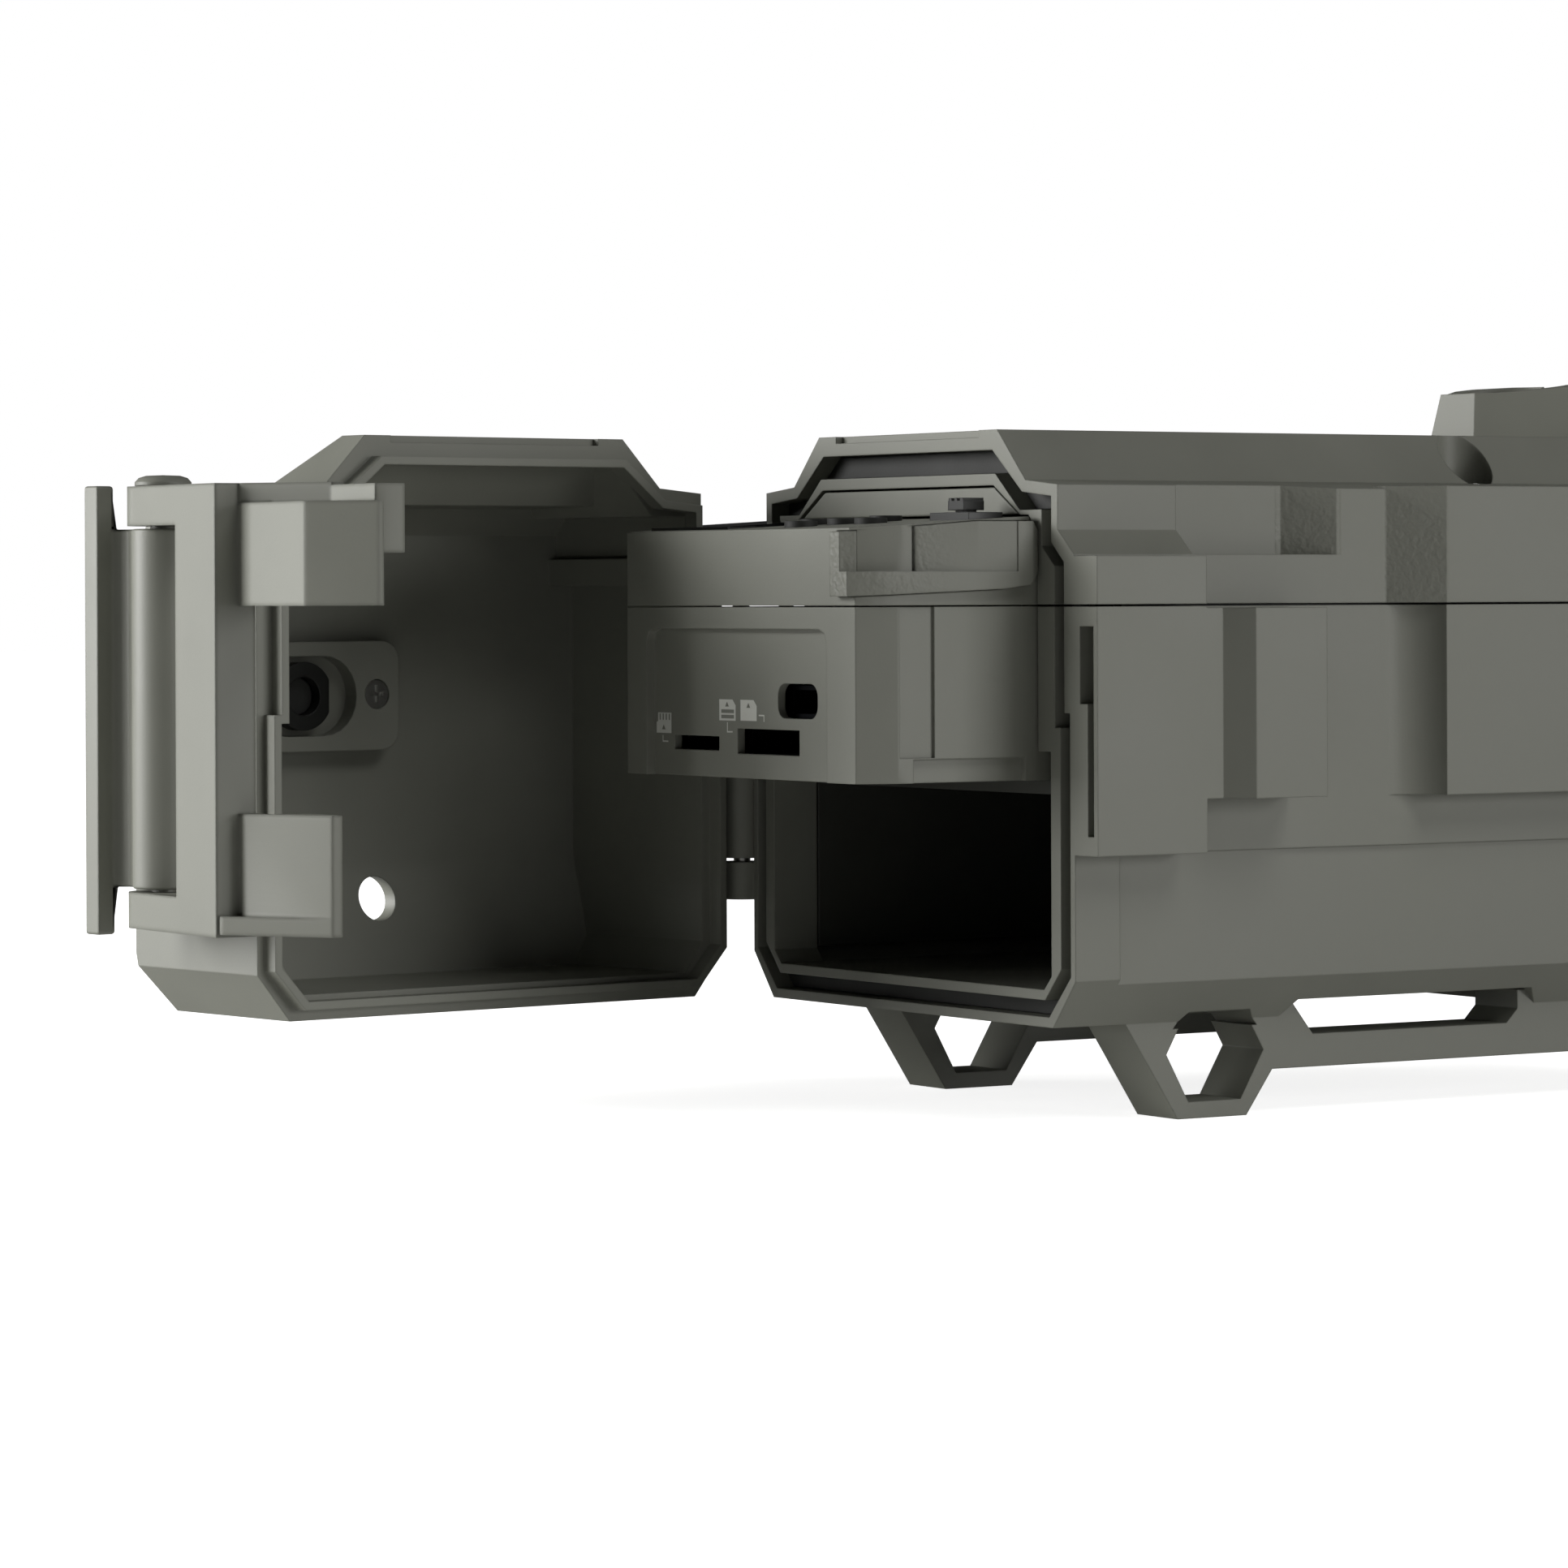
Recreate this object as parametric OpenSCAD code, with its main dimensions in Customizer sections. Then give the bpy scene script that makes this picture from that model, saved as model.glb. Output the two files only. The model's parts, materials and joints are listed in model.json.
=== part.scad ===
// Cellular trail camera lying on its back, with its bottom hatch swung open.
// X runs from the hatch end to the top end, Y across, and Z is the way the lens looks.
// The origin is the mouth of the tripod socket in the back face.
// Most modules draw in the rim frame, whose X = 0 is the rim and Z = 0 the parting line.

/* [Housing] */
// Length of the housing from its rim to its top end
body_l = 126; // [123:1:134]
// Room between the core module and each side wall of the housing
side_room = 9.2; // [9:0.1:10]
// Depth of the back shell, from the parting line to the back face
back_d = 57.5; // [56:0.5:62]
// Height of the front face above the parting line
front_h = 24.3; // [23.5:0.1:26]
// Height of the shoulder beside the raised front
shoulder_h = 16.5; // [15.8:0.1:17.5]
// Width of the flat front face
front_w = 46; // [43:1:48]
// Wall of both shells
wall = 2.8; // [2.4:0.1:3.2]
// Thickness of the back wall
back_wall = 5.1; // [4.8:0.1:6]
// Width of the lower side chamfer
corner_y = 5.4; // [4:0.1:6]
// Height of the lower side chamfer
corner_z = 6.6; // [5:0.1:8]
// Gap that the seal fills between the two shells
seam_gap = 0.3; // [0.2:0.05:0.4]

/* [Rim and seal] */
// Length of the collar behind the rim
collar_l = 7.4; // [6.8:0.1:9]
// How far the collar stands out from the housing behind it
collar_step = 0.6; // [0.3:0.1:0.9]
// Thickness of the outer rim lip
lip_t = 1.1; // [0.9:0.1:1.3]
// Width of the seal groove
groove_w = 2.3; // [2.1:0.1:2.5]
// Depth of the seal groove
groove_d = 4.2; // [3.8:0.1:4.6]
// Thickness of the inner rim lip
inner_lip_t = 2.3; // [1.8:0.1:2.6]
// Thickness of the rim seal
seal_t = 1.3; // [1:0.1:1.5]

/* [Hatch] */
// Full depth of the hatch
hatch_l = 34; // [33:0.5:36]
// Depth of the hatch side walls
hatch_side_l = 30.8; // [30:0.1:32]
// Wall of the hatch
hatch_wall = 4; // [3.9:0.1:4.4]
// Thickness of the hatch floor
hatch_floor = 2.5; // [2:0.1:3]
// Angle at which the hatch stands open
hatch_open = 82.2; // [75:0.1:88]
// Gap between the closed hatch and the rim
hatch_gap = 0.3; // [0.2:0.05:0.4]
// Height of the tongue that enters the seal groove
tongue_h = 2.5; // [1.8:0.1:2.6]
// Thickness of the tongue
tongue_t = 1.2; // [1:0.1:1.3]
// Distance from the side wall to the hinge axis
hinge_out = 3.4; // [3.4:0.1:4.2]
// Radius of the hinge knuckles
knuckle_r = 3.15; // [2.9:0.05:3.15]
// Radius of the hinge pin
hinge_pin_r = 1.25; // [1:0.05:1.6]
// Radius of the hole through the hatch floor
cable_hole_r = 3.25; // [3:0.05:3.6]

/* [Latch] */
// Distance that the catch plate stands out from the side wall
catch_h = 5.4; // [5:0.1:5.6]
// Length of the catch plate up to its hooking ledge
catch_l = 18.2; // [17.6:0.1:18.2]
// Distance from the rim back to the latch pin
pin_x = 12.8; // [12.4:0.1:13.2]
// Distance from the side wall out to the latch pin
pin_out = 7; // [6.9:0.1:7.3]
// Radius of the latch pin
pin_r = 1.8; // [1.6:0.1:2]
// Radius of the bail eyes about the pin
eye_r = 5; // [4.6:0.1:5.2]
// Angle that the bail stands out from its latched place
bail_lift = 8; // [7:0.5:10]
// Clearance along the pin between its neighbours
side_gap = 0.4; // [0.3:0.05:0.6]

/* [Core module] */
// Width of the core module across its sides
core_w = 64.6; // [62:0.2:65]
// Distance that the core module stands out of the rim
core_out = 28; // [27:0.5:28.5]
// Length of the core module inside the housing
core_in = 40; // [36:1:42]
// Depth of the core module below the parting line
core_down = 23.9; // [23.3:0.1:24.5]
// Height of the core module at its outer end
core_up = 10.6; // [10:0.1:11]
// Rise of the core module top towards the rim
core_rise = 1.6; // [1:0.1:1.8]
// Wall of the core module
core_wall = 2; // [1.6:0.1:2.4]
// Width of the memory card slot
sd_slot_w = 12.2; // [11.6:0.1:13]
// Width of the network card slot
sim_slot_w = 16.3; // [15.4:0.1:16.5]
// Width of the data port
usb_w = 10.3; // [9.8:0.1:11]
// Radius of the keys
key_r = 2.3; // [2:0.1:2.5]

/* [Battery bay] */
// Depth of the battery bay behind the rim
bay_l = 70; // [68:0.5:70.5]
// Wall of the battery sleeve
sleeve_t = 2.2; // [1.6:0.1:2.4]

/* [Back and mounting] */
// Distance from the end of the battery bay to the tripod socket
socket_gap = 20; // [19.5:0.5:22]
// Radius of the tripod socket
tripod_r = 3.175; // [3:0.025:3.4]
// Length of the tripod socket
tripod_l = 9; // [8:0.5:10]
// Height of the hexagonal feet below the back face
foot_h = 13.5; // [13:0.5:15]
// Thickness of each rail
rail_t = 9.6; // [9:0.1:10]
// Depth of the strap channel across the back
channel_d = 2.4; // [2:0.1:2.8]

/* [Front] */
// Height of the hood above the front face
hood_h = 8.5; // [7:0.1:9]
// Radius of the lens barrel
lens_r = 6.2; // [5.6:0.1:6.5]

/* [Hidden] */
$fn = 48;

shell_grey = "#8a8b83";
dark_grey = "#4f504b";
seal_black = "#1d1e1b";
board_green = "#1f4a2e";
bright_metal = "#b8b8b4";
gold = "#c2a04a";

body_w = core_w + 2 * side_room;
half_w = body_w / 2;
socket_x = bay_l + socket_gap;
eps = 0.01;
// Running clearance of a pin in its bore
pin_fit = 0.05;
// Clearance of pieces that sit in a seat
seat_fit = 0.15;
// Reach of a cutting solid beyond what it cuts
over = 1;
hinge_y = half_w + hinge_out;
hump_y = front_w / 2;
// Flank of the raised front, from the flat face down to the shoulder
flank_h = front_h - shoulder_h - 0.7;
flank_y = hump_y + flank_h * 0.97;
// Notch in the shoulder beside the rim, and the pocket for the bail's tab behind it
notch_z = 6.9;
notch_d = 3.9;
notch_l = 19.8;
pocket_d = 4.6;
pocket_l = 38.2;
pocket_end = 44.5;
bay_floor = -back_d + back_wall;
step_z = -14.6;
// Inner wall of the bay mouth, from the side wall
mouth_in = lip_t + groove_w + inner_lip_t;
core_half = core_w / 2;
core_top = core_up + core_rise;
// Inner edge of the groove over the corners of the core module
shelf_z = core_top + 0.9;
// Flat of the raised front inside the bay mouth
crown_y = hump_y - 0.9;
crown_z = front_h - 7.7;
// Ends of the top bevel of the core module, where its panel closes the mouth
bevel_y = half_w - 12.8;

// Catch plate from low to high, and the blocks behind it
catch_z = [-33.8, 6.7];
ramp_block_x = [20.9, 24, 36.1];
ramp_block_z = [-26.4, -0.4];
ramp_block_h = 8.8;
long_block_x = [53.2, body_l - 18];
long_block_h = 5;
long_block_z = -26.8;
scoop_r = 7;
core_out_t = 2.6;

// Rails under the back; the far one stops short of the strap's far edge
strap_x = [40.1, 80.8];
latch_rail_y = -half_w + corner_y;
hinge_rail_y = latch_rail_y + 58;
latch_rail_l = body_l - 12;
hinge_rail_l = 79;
rail_drop = foot_h - 6.2;
foot_x = [12, 20.8, 32.5, 37];

// Hood, and what sits in the front face
hood_x = body_l - 28;
hood_end = body_l - 7;
hood_tip = 5.2;
hood_half = 17.5;
hood_draft = 1.4;
lens_x = hood_end - 9.5;
lens_seat = lens_r + 1.2;
led_x = hood_x - 8.4;
led_w = 5.8;
led_l = 22.4;
pir_x = 58;
board_z = 6.5;
board_t = 1.6;

// Shell screws
screw_xy = [for (x = [bay_l + 9.3, body_l - 11]) for (y = [-1, 1]) [x, y * (half_w - 15.1)]];
screw_r = 1.5;
screw_head_z = 15;
tripod_out_r = tripod_r + 2;

// Hinge knuckles from the bottom up, fixed, moving and fixed
knuckle_low = [-43.4, -37.9];
knuckle_mid = [-37.3, -4.6];
knuckle_top = [-4, 2];

// Card slots, data port, keys, switch and display of the core module
sd_y = [7.3, 7.3 + sd_slot_w];
sd_z = [-20.2, -18.2];
sim_y = [2.4 - sim_slot_w, 2.4];
sim_z = [-20.5, -17];
usb_y = [-18.6, -18.6 + usb_w];
usb_z = [-15.4, -10.6];
key_xy = [[-7, -5.5], [-21, -5.5], [-14, -12.5], [-14, 1.5], [-14, -5.5]];
switch_xy = [-5.5, -23.5];
display_x = [-25, -3];
display_y = [core_half - 24.8, core_half - 3.8];
keys_z = 4.4;
keys_t = 1.2;
main_z = -16.6;
main_t = 1.2;
core_screw_xy = [for (x = [8, core_in - 6]) for (y = [-1, 1]) [x, y * (core_half - 6)]];
core_screw_r = 1.1;
core_boss_r = 3;

// Two staggered rows of cells lie along the bay
cell_r = 7.25;
bay_half = half_w - mouth_in;
bay_roof = -core_down - 0.3;
cell_y = bay_half - sleeve_t - cell_r - 0.6;
cell_z = [bay_floor + cell_r + 0.6, bay_roof - 2 - cell_r - 0.6];
cell_yz = [for (i = [0 : 3]) [(i * 2 / 3 - 1) * cell_y, cell_z[i % 2]]];

// Lugs of the hatch and arms of the bail along the latch pin
lug_low = [-38, -33];
lug_top = [3, 8];
lug_r = 3;
arm_low = [-44.4, -39.4];
arm_top = [11.5, 17];
slab_x = [1.4, 13.8];
slab_s = [6, 12];
hook_x = 18.8;
hook_low = 0.5;
hook_out = 8.6;
lever_r = 4.4;

// Power socket, its screw and the cable hole in the hatch floor
jack_y = -half_w + 28.2;
jack_z = -12.95;
jack_screw_y = jack_y + 12.6;
cable_y = -half_w + 41.5;
cable_z = -42.9;

// ---------- helpers ----------

function unit(v) = v / norm(v);
// Polygon moved inwards by d, for points in anticlockwise order
function inset(p, d) = [for (i = [0 : len(p) - 1])
    let (a = p[(i + len(p) - 1) % len(p)], b = p[i], c = p[(i + 1) % len(p)])
    let (u = unit(b - a), v = unit(c - b))
    let (m = [-u.y, u.x], n = [-v.y, v.x])
    b + d * (m + n) / (1 + m * n)];
// Closed outline from its +Y half, listed from the bottom up
function both(h) = concat(h, [for (i = [len(h) - 1 : -1 : 0]) [-h[i].x, h[i].y]]);
// Distance from the side wall turned into +Y
function in(s) = half_w - s;

// Extrudes a (Y, Z) outline along X
module along_x(x0, x1) {
    translate([x0, 0, 0]) rotate([90, 0, 90]) linear_extrude(x1 - x0) children();
}
// Extrudes an (X, Z) outline along Y
module along_y(y0, y1) {
    translate([0, y1, 0]) rotate([90, 0, 0]) linear_extrude(y1 - y0) children();
}
// Extrudes an (X, Y) outline along Z
module along_z(z0, z1) {
    translate([0, 0, z0]) linear_extrude(z1 - z0) children();
}
// Box between two corners
module box(a, b) {
    translate(a) cube(b - a);
}
module rod(r, z0, z1) {
    translate([0, 0, z0]) cylinder(r = r, h = z1 - z0);
}
module both_sides() {
    children();
    mirror([0, 1, 0]) children();
}
// Rim frame in the part's frame
module at_rim() {
    translate([-socket_x, 0, back_d]) children();
}
// Closed hatch carried round to its open place
module on_hatch() {
    at_rim() translate([0, hinge_y, 0]) rotate([0, 0, -hatch_open])
        translate([0, -hinge_y, 0]) children();
}
// Latched bail carried out to its free place
module on_bail() {
    on_hatch() translate([-pin_x, -half_w - pin_out, 0]) rotate([0, 0, -bail_lift])
        translate([pin_x, half_w + pin_out, 0]) children();
}
// Plan outline given on the latch side, with Y measured out from the side wall
module latch_plan(z0, z1, pts) {
    along_z(z0, z1) polygon([for (p = pts) [p.x, -half_w - p.y]]);
}

// ---------- housing outlines ----------

// Rim section with the notch beside the shoulder
function rim_section() = both([[in(corner_y), -back_d], [in(0), corner_z - back_d],
    [in(0), notch_z], [in(notch_d), notch_z + 3.4], [in(notch_d), shoulder_h],
    [flank_y, shoulder_h + 0.7], [hump_y, front_h]]);
// Section behind the notch
function body_section() = both([[in(corner_y), -back_d], [in(0), corner_z - back_d],
    [in(0), shoulder_h - 0.4], [flank_y, shoulder_h + 0.7], [hump_y, front_h]]);
// Outer edge of the seal groove
function groove_outer() = both([[in(corner_y) - 0.9, -back_d + lip_t + 0.3],
    [in(lip_t), corner_z - back_d + 0.5], [in(lip_t), step_z],
    [in(lip_t + 1.3), step_z], [in(lip_t + 1.3), notch_z - 1],
    [in(notch_d + 1.5), notch_z + 1.7], [in(notch_d + 1.5), shoulder_h - 1.6],
    [flank_y - 0.8, shoulder_h - 0.9], [hump_y - 1.2, front_h - 2.8]]);
// Inner edge of the seal groove
function groove_inner() = both([[in(corner_y) - 1.9, -back_d + lip_t + 0.3 + groove_w],
    [in(lip_t + groove_w), corner_z - back_d + 1.5], [in(lip_t + groove_w), step_z - 2],
    [in(lip_t + groove_w + 1.3), step_z - 2], [in(lip_t + groove_w + 1.3), notch_z - 1.5],
    [in(notch_d + 1.5 + groove_w), notch_z + 1.2],
    [in(notch_d + 1.5 + groove_w), shelf_z],
    [flank_y - 1.4, shelf_z], [hump_y - 0.5, front_h - 6.1]]);
// Mouth of the housing inside the rim, filled by the core module and its panel
function mouth() = both([[in(mouth_in + 1.8), bay_floor], [in(mouth_in), bay_floor + 1.9],
    [in(mouth_in), 4 - core_down], [core_half + 0.5, 4 - core_down],
    [core_half + 0.5, core_top - 2], [core_half - 1.7, core_top + 0.25],
    [bevel_y, core_top + 0.25], [crown_y, crown_z]]);
// Cavity behind the collar
function cavity() = both([[in(corner_y) - 0.9, bay_floor], [in(wall), corner_z - back_d + 1.2],
    [in(wall), shoulder_h - 3.4], [flank_y - 1.2, shoulder_h + 0.7 - wall],
    [hump_y - 1.1, front_h - wall]]);
// Plan outline with chamfered top-end corners
function plan() = [[0, -half_w], [body_l - 9, -half_w], [body_l, -half_w + 15],
    [body_l, half_w - 15], [body_l - 9, half_w], [0, half_w]];
// Side outline with a sloped top end
function side() = [[0, -back_d], [body_l - 7, -back_d], [body_l, -back_d + 12],
    [body_l, shoulder_h - 4], [body_l - 6, front_h], [0, front_h]];

// ---------- housing solids ----------

// Outer form with the collar step and the notches
module housing_form() {
    difference() {
        intersection() {
            along_x(0, body_l) polygon(body_section());
            along_z(-back_d - over, front_h + over) polygon(plan());
            along_y(-half_w - over, half_w + over) polygon(side());
        }
        // Everything behind the collar is a step smaller below the catch plate
        both_sides() along_z(-back_d - over, catch_z[0]) polygon([[collar_l, half_w + over],
            [collar_l, half_w - collar_step], [body_l - 8, half_w - collar_step],
            [body_l, half_w - 14], [body_l, half_w + over]]);
        // Notch beside the rim, open to the shoulder
        both_sides() along_x(-over, notch_l) polygon([[in(0) + eps, notch_z],
            [in(notch_d), notch_z + 3.4], [in(notch_d), front_h], [in(-over), front_h],
            [in(-over), notch_z]]);
        // Pocket for the bail's tab and the ramp behind it
        mirror([0, 1, 0]) along_z(notch_z, front_h) polygon([[notch_l - eps, half_w + over],
            [notch_l - eps, in(pocket_d)], [pocket_l, in(pocket_d)], [pocket_end, in(0)],
            [pocket_end, half_w + over]]);
        // Ramp that ends the far notch
        along_z(notch_z, front_h) polygon([[notch_l - eps, half_w + over],
            [notch_l - eps, in(notch_d)], [notch_l + 6, in(0)], [notch_l + 6, half_w + over]]);
        // Finger notch in the front edge
        box([-over, 4.5 - hump_y, front_h - 1], [1.2, hump_y - 4.5, front_h + over]);
        // Strap channel across the back
        along_y(-half_w - over, half_w + over) polygon([[strap_x[0] - 2, -back_d - over],
            [strap_x[0] - 2, -back_d], [strap_x[0], -back_d + channel_d],
            [strap_x[1] + 1, -back_d + channel_d], [strap_x[1] + 3, -back_d],
            [strap_x[1] + 3, -back_d - over]]);
    }
}

// Catch plate, its ramped block and the long side block, on the latch side
module side_blocks() {
    // Plate that the hooks catch
    latch_plan(catch_z[0], catch_z[1], [[0, -wall], [0, catch_h], [catch_l, catch_h],
        [catch_l, -wall]]);
    latch_plan(ramp_block_z[0], ramp_block_z[1], [[catch_l - over, -wall],
        [catch_l - over, catch_h], [ramp_block_x[0], catch_h], [ramp_block_x[1], ramp_block_h],
        [ramp_block_x[2], ramp_block_h], [ramp_block_x[2], -wall]]);
    // Long block with a ramp on its upper half and a finger scoop on its lower half
    latch_plan(0, shoulder_h, [[long_block_x[0], 0], [long_block_x[0] + 6.8, long_block_h],
        [long_block_x[1], long_block_h], [long_block_x[1] + 7, 0], [long_block_x[1] + 7, -wall],
        [long_block_x[0], -wall]]);
    difference() {
        latch_plan(long_block_z, 0, [[long_block_x[0], 0], [long_block_x[0], long_block_h],
            [long_block_x[1], long_block_h], [long_block_x[1] + 7, 0],
            [long_block_x[1] + 7, -wall], [long_block_x[0], -wall]]);
        translate([long_block_x[0], -half_w - scoop_r, 0]) rod(scoop_r, long_block_z - over, over);
    }
}

// Rail under the back with a hexagonal loop in its foot and a strap slot
module rail(y0, l) {
    z = -back_d;
    // The slot keeps a post of this length at the end of a short rail
    slot_end = min(strap_x[1], l - 9);
    difference() {
        along_y(y0, y0 + rail_t) polygon([[foot_x[0], z + 2], [foot_x[0], z],
            [foot_x[1], z - foot_h], [foot_x[2], z - foot_h], [foot_x[3], z - rail_drop],
            [l - 3, z - rail_drop], [l, z], [l, z + 2]]);
        along_y(y0 - over, y0 + rail_t + over) polygon([[18.9, z - 4.5], [22.6, z - foot_h + 2.3],
            [31.5, z - foot_h + 2.3], [35.5, z - 4.5], [31.5, z + channel_d],
            [22.9, z + channel_d]]);
        along_y(y0 - over, y0 + rail_t + over) polygon([[strap_x[0], z + channel_d],
            [strap_x[0] + 4, z - 2.7], [slot_end - 2, z - 2.7], [slot_end, z - 0.7],
            [slot_end, z + channel_d]]);
    }
}

// Hexagonal hood round the lens, narrow towards the hatch
function hood_plan(g) = [[hood_x + g, -hood_tip + g],
    [hood_x + hood_half - hood_tip + g, -hood_half + g], [hood_end - 3 - g, -hood_half + g], [hood_end - g, 8 - hood_half],
    [hood_end - g, hood_half - 8], [hood_end - 3 - g, hood_half - g],
    [hood_x + hood_half - hood_tip + g, hood_half - g], [hood_x + g, hood_tip - g]];
module hood() {
    difference() {
        intersection() {
            hull() {
                along_z(front_h - 0.2, front_h) polygon(hood_plan(0));
                along_z(front_h + hood_h, front_h + hood_h + eps) polygon(hood_plan(hood_draft));
            }
            // Its top climbs away from the tip
            along_y(-hood_half, hood_half) polygon([[hood_x, front_h - 0.2],
                [hood_x, front_h + hood_h - 1.4], [hood_x + 4, front_h + hood_h - 1.4],
                [hood_end - 4, front_h + hood_h], [hood_end, front_h + hood_h],
                [hood_end, front_h - 0.2]]);
        }
        translate([lens_x, 0, 0]) cylinder(r1 = lens_seat + 0.2, r2 = lens_seat + 1,
            h = front_h + hood_h + over);
    }
}

// Columns for the shell screws
module at_screws() {
    for (p = screw_xy)
        translate([p.x, p.y, 0]) children();
}

// Knuckle of the hinge with its web to the wall on the +X side
module knuckle(z0, z1) {
    translate([0, hinge_y, 0]) rod(knuckle_r, z0, z1);
    along_z(z0, z1) polygon([[0, hinge_y - knuckle_r], [hatch_gap, half_w - 1], [9, half_w - 1],
        [9, half_w], [1.6, hinge_y + 2.7], [0, hinge_y + knuckle_r]]);
}

// Both shells as one body, split at the parting line
module housing() {
    difference() {
        union() {
            housing_form();
            side_blocks();
            hood();
            rail(latch_rail_y, latch_rail_l);
            rail(hinge_rail_y, hinge_rail_l);
            knuckle(knuckle_low[0], knuckle_low[1]);
            knuckle(knuckle_top[0], knuckle_top[1]);
        }
        hollow();
        // Seal groove
        difference() {
            along_x(-over, groove_d) polygon(groove_outer());
            along_x(-2 * over, groove_d + over) polygon(groove_inner());
        }
        // Hinge pin bore
        translate([0, hinge_y, 0]) rod(hinge_pin_r + pin_fit, knuckle_low[0] + 1, 3);
        // Coring slot in the end of the catch plate, stepped half way down
        latch_plan(-13.3, -2.8, [[-over, catch_h - 0.9], [9, catch_h - 0.9], [9, 1.3], [-over, 1.3]]);
        latch_plan(-31.2, -13.3 + eps, [[-over, catch_h - 0.9], [9, catch_h - 0.9], [9, 3.1],
            [-over, 3.1]]);
        // Cored back of the long side block
        latch_plan(long_block_z + core_out_t, -2, core_out_plan());
        latch_plan(2, shoulder_h - 3, core_out_plan());
        // Hexagonal loops run up into the back
        for (y = [latch_rail_y, hinge_rail_y])
            along_y(y - over, y + rail_t + over) polygon([[20, -back_d - over],
                [34.4, -back_d - over], [31.5, channel_d - back_d], [22.9, channel_d - back_d]]);
        front_openings();
        at_screws() rod(4, screw_head_z, front_h + over);
        at_screws() rod(screw_r + seat_fit, -20, screw_head_z + over);
        // Seat of the tripod insert
        translate([socket_x, 0, 0]) rod(tripod_out_r, -back_d - over, -back_d + tripod_l + 1);
    }
}
function core_out_plan() = [[long_block_x[0] + 10.8, core_out_t], [long_block_x[1] - 2, core_out_t],
    [long_block_x[1] - 2, -wall - over], [long_block_x[0] + 10.8, -wall - over]];

// Inside of the shells, with the columns left standing
module hollow() {
    along_x(-over, collar_l + over) polygon(mouth());
    difference() {
        intersection() {
            along_x(collar_l, body_l - wall) polygon(cavity());
            along_z(-back_d, front_h) polygon(inset(plan(), wall));
            along_y(-half_w, half_w) polygon(inset(side(), wall));
        }
        // Inner face of the pocket beside the notch
        mirror([0, 1, 0]) box([0, in(pocket_d + wall), notch_z - wall],
            [pocket_end + 2, half_w, front_h]);
        box([0, in(notch_d + wall), notch_z - wall], [notch_l + 5, half_w, front_h]);
        // Columns of the shell screws
        at_screws() rod(5.2, 0, front_h);
        at_screws() rod(4.4, -back_d, 0);
        // Boss of the tripod insert
        translate([socket_x, 0, 0]) rod(tripod_out_r + 2.4, -back_d, -back_d + tripod_l + 3);
        // Collar that carries the lens barrel
        translate([lens_x, 0, 0]) rod(lens_r + 1.8, front_h - 8, front_h);
    }
}
// Windows in the front
module front_openings() {
    translate([lens_x, 0, 0]) rod(lens_r + 0.3, front_h - 10, front_h + over);
    translate([lens_x, 0, 0]) rod(lens_seat, front_h - 1.2, front_h + over);
    translate([led_x, 0, 0]) {
        box([-led_w / 2, -led_l / 2, front_h - wall - over], [led_w / 2, led_l / 2, front_h + over]);
        box([-led_w / 2 - 0.7, -led_l / 2 - 0.8, front_h - 1.2],
            [led_w / 2 + 0.7, led_l / 2 + 0.8, front_h + over]);
    }
    translate([pir_x, 0, 0]) {
        along_z(front_h - 1.4, front_h + over) slot_2d(26, 18, 4);
        along_z(front_h - wall - over, front_h + over) slot_2d(24, 16, 3);
    }
}
// Rectangle with rounded corners, centred
module slot_2d(a, b, r) {
    polygon([for (k = [0 : 3]) for (j = [0 : 6])
        let (t = k * 90 + j * 15, c = [[1, 1], [-1, 1], [-1, -1], [1, -1]][k])
        [c.x * (a / 2 - r) + r * cos(t), c.y * (b / 2 - r) + r * sin(t)]]);
}

// Slab of space between two heights, wider than everything else
module layer(z0, z1) {
    box([-core_out - 9, -half_w - 30, z0], [body_l + 9, half_w + 30, z1]);
}
module front_shell() {
    color(shell_grey) at_rim() intersection() {
        housing();
        layer(seam_gap / 2, front_h + hood_h + over);
    }
}
module back_shell() {
    color(shell_grey) at_rim() intersection() {
        housing();
        layer(-back_d - foot_h - over, -seam_gap / 2);
    }
}
// Flat seal in the parting line, behind the collar
module shell_gasket() {
    color(seal_black) at_rim() difference() {
        along_z(-seam_gap / 2, seam_gap / 2) polygon(inset(plan(), 0.9));
        along_z(-over, over) polygon(inset(plan(), wall - 0.2));
        box([-over, -half_w, -over], [collar_l + over, half_w, over]);
        at_screws() rod(screw_r + 1, -over, over);
    }
}
module rim_gasket() {
    color(seal_black) at_rim() difference() {
        along_x(groove_d - seal_t, groove_d) polygon(inset(groove_outer(), 0.1));
        along_x(-over, groove_d + over) polygon(inset(groove_inner(), -0.1));
    }
}
module shell_screws() {
    color(bright_metal) at_rim() at_screws() difference() {
        union() {
            rod(2 * screw_r, screw_head_z, screw_head_z + 2.2);
            rod(screw_r, -14, screw_head_z);
        }
        translate([0, 0, screw_head_z + 1]) rotate(30) cylinder(r = screw_r, h = 3, $fn = 6);
    }
}
module tripod_insert() {
    color(gold) at_rim() translate([socket_x, 0, 0]) difference() {
        rod(tripod_out_r - 0.02, -back_d, -back_d + tripod_l + 1);
        rod(tripod_r, -back_d - over, -back_d + tripod_l);
    }
}

// ---------- front pieces ----------

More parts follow.
